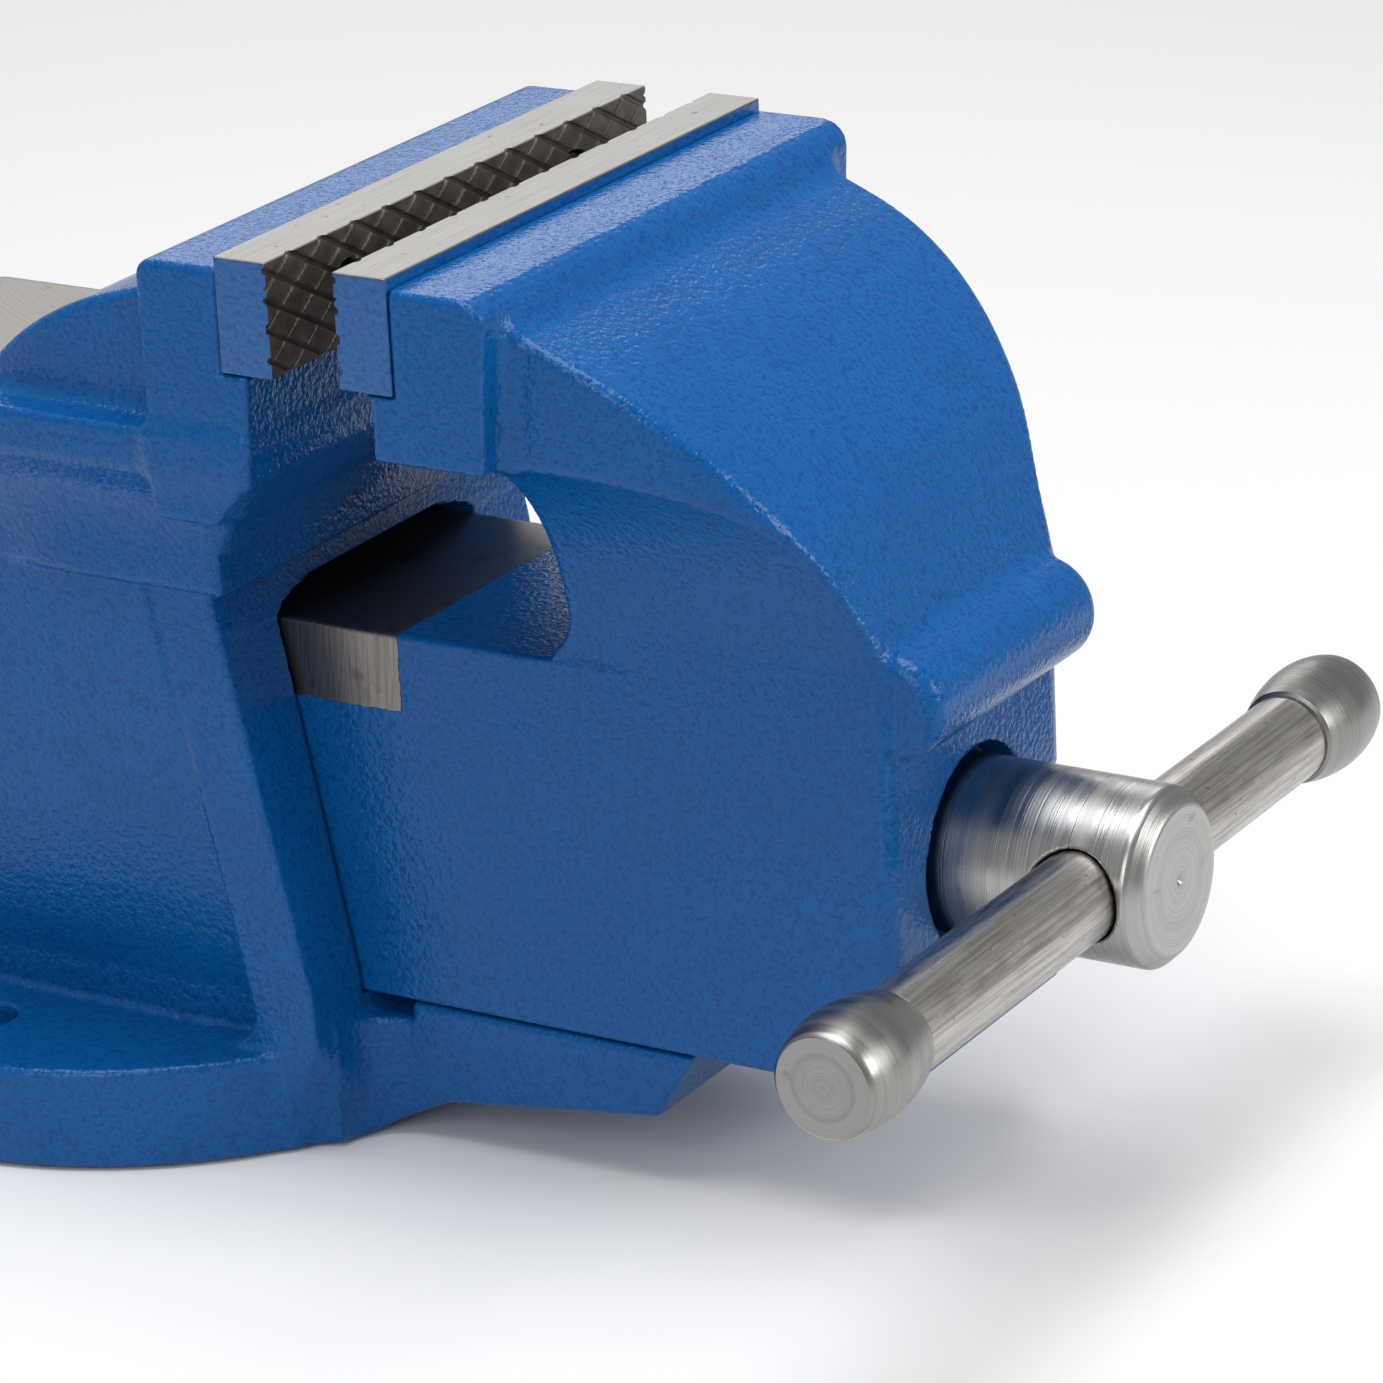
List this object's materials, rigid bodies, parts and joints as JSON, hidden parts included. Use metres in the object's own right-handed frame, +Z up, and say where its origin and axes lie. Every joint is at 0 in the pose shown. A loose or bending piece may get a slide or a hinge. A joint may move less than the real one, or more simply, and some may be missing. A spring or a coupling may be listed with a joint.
{
  "type": "bench vise",
  "caption": "Cast bench vise with a round bolt-down base, sliding front jaw driven by a screw and sliding bar, steel jaw plates and a flat anvil pad.",
  "frame": {"origin": "centre of the round base's underside, where it stands on the bench", "axes": "+Z up, -Y towards the handle and the sliding front jaw, +X to the right of someone at the handle"},
  "size_m": [0.2314, 0.3739, 0.2121],
  "materials": {
    "casting_paint": "glossy blue enamel with an orange-peel texture over cast iron",
    "ground_steel": "ground",
    "turned_steel": "bright turned",
    "black_steel": "oil blackened",
    "spring_steel": "dark drawn wire",
    "cast_iron": "machined grey iron",
    "bronze": "plain bronze"
  },
  "bodies": {
    "body": {"body_casting": "casting_paint", "rear_jaw_plate": "ground_steel", "rear_plate_screw_left": "black_steel", "rear_plate_screw_right": "black_steel", "main_nut": "cast_iron", "nut_bolt_front": "black_steel", "nut_bolt_rear": "black_steel", "nut_bolt_washer_front": "ground_steel", "nut_bolt_washer_rear": "ground_steel"},
    "front_jaw": {"sliding_jaw": "casting_paint", "front_jaw_plate": "ground_steel", "front_plate_screw_left": "black_steel", "front_plate_screw_right": "black_steel", "thrust_washer": "bronze", "spring_washer": "ground_steel"},
    "spindle": {"main_screw": "turned_steel", "retaining_spring": "spring_steel", "retaining_collar": "black_steel", "collar_pin": "black_steel"},
    "bar": {"tommy_bar": "turned_steel", "tommy_knob_left": "turned_steel", "tommy_knob_right": "turned_steel"}
  },
  "joints": [
    {"name": "jaw_slide", "type": "slide", "parent": "body", "child": "front_jaw", "axis": [0, -1, 0], "range_m": [-0.0162, 0.1334]},
    {"name": "screw_spin", "type": "hinge", "parent": "front_jaw", "child": "spindle", "pos_m": [0, -0.2499, 0.0764], "axis": [0, -1, 0], "range_deg": [-985, 8020]},
    {"name": "bar_slide", "type": "slide", "parent": "spindle", "child": "bar", "axis": [1, 0, 0], "range_m": [-0.0627, 0.0769]}
  ],
  "couplings": [
    {"joint": "screw_spin", "follows": "jaw_slide", "rad_per_m": 1047.2}
  ]
}
